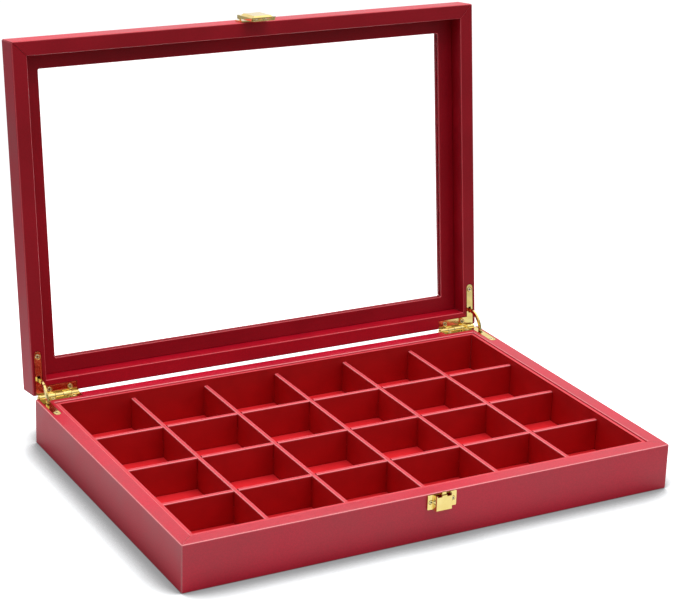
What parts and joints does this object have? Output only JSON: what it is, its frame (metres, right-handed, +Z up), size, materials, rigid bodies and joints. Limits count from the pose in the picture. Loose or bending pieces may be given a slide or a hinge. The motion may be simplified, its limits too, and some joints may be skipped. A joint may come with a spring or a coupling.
{
  "type": "jewelry tray with lid",
  "caption": "Shallow red display box for rings: mitred rails, an inside divided into square cells, and a hinged lid with a clear window, two stayed hinges and a front latch.",
  "frame": {"origin": "centre of the base's flat bottom face", "axes": "+Z up, -Y towards the front with the latch, +X along the width to the viewer's right"},
  "size_m": [0.36, 0.3024, 0.2841],
  "materials": {
    "red_wood": "smooth satin red lacquer",
    "red_lining": "matt red lining on thin board",
    "dark_fibreboard": "plain hard board",
    "gilt_steel": "bright gilt plating",
    "clear_glass": "clear and polished"
  },
  "bodies": {
    "base": {"base_front_rail": "red_wood", "base_back_rail": "red_wood", "base_left_rail": "red_wood", "base_right_rail": "red_wood", "bottom_panel": "dark_fibreboard", "liner_front": "red_lining", "liner_back": "red_lining", "liner_left": "red_lining", "liner_right": "red_lining", "tray_floor": "red_lining", "long_divider_1": "red_lining", "long_divider_2": "red_lining", "long_divider_3": "red_lining", "short_divider_1": "red_lining", "short_divider_2": "red_lining", "short_divider_3": "red_lining", "short_divider_4": "red_lining", "short_divider_5": "red_lining", "left_hinge_lower_leaf": "gilt_steel", "left_hinge_pin": "gilt_steel", "left_hinge_lower_screw_1": "gilt_steel", "left_hinge_lower_screw_2": "gilt_steel", "left_hinge_lower_screw_3": "gilt_steel", "right_hinge_lower_leaf": "gilt_steel", "right_hinge_pin": "gilt_steel", "right_hinge_lower_screw_1": "gilt_steel", "right_hinge_lower_screw_2": "gilt_steel", "right_hinge_lower_screw_3": "gilt_steel", "keeper": "gilt_steel", "keeper_screw_1": "gilt_steel", "keeper_screw_2": "gilt_steel"},
    "lid": {"lid_front_rail": "red_wood", "lid_back_rail": "red_wood", "lid_left_rail": "red_wood", "lid_right_rail": "red_wood", "glass_pane": "clear_glass", "glass_retainer": "red_wood", "left_hinge_upper_leaf": "gilt_steel", "left_hinge_upper_screw_1": "gilt_steel", "left_hinge_upper_screw_2": "gilt_steel", "left_hinge_upper_screw_3": "gilt_steel", "right_hinge_upper_leaf": "gilt_steel", "right_hinge_upper_screw_1": "gilt_steel", "right_hinge_upper_screw_2": "gilt_steel", "right_hinge_upper_screw_3": "gilt_steel", "latch_plate": "gilt_steel", "latch_screw_1": "gilt_steel", "latch_screw_2": "gilt_steel", "latch_pin": "gilt_steel"},
    "left_stay": {"left_stay": "gilt_steel"},
    "right_stay": {"right_stay": "gilt_steel"},
    "latch_flap": {"latch_flap": "gilt_steel"}
  },
  "joints": [
    {"name": "lid_hinge", "type": "hinge", "parent": "base", "child": "lid", "pos_m": [0, 0.1248, 0.0316], "axis": [1, 0, 0], "range_deg": [0, 96.8]},
    {"name": "left_stay_swing", "type": "hinge", "parent": "base", "child": "left_stay", "pos_m": [0, 0.1248, 0.0316], "axis": [1, 0, 0], "range_deg": [0, 55.2]},
    {"name": "right_stay_swing", "type": "hinge", "parent": "base", "child": "right_stay", "pos_m": [0, 0.1248, 0.0316], "axis": [1, 0, 0], "range_deg": [0, 55.2]},
    {"name": "latch_flap_hinge", "type": "hinge", "parent": "lid", "child": "latch_flap", "pos_m": [0.0006, 0.16538, 0.27904], "axis": [-1, 0, 0], "range_deg": [0, 85]}
  ],
  "couplings": [
    {"joint": "left_stay_swing", "follows": "lid_hinge", "ratio": 0.57},
    {"joint": "right_stay_swing", "follows": "lid_hinge", "ratio": 0.57}
  ]
}
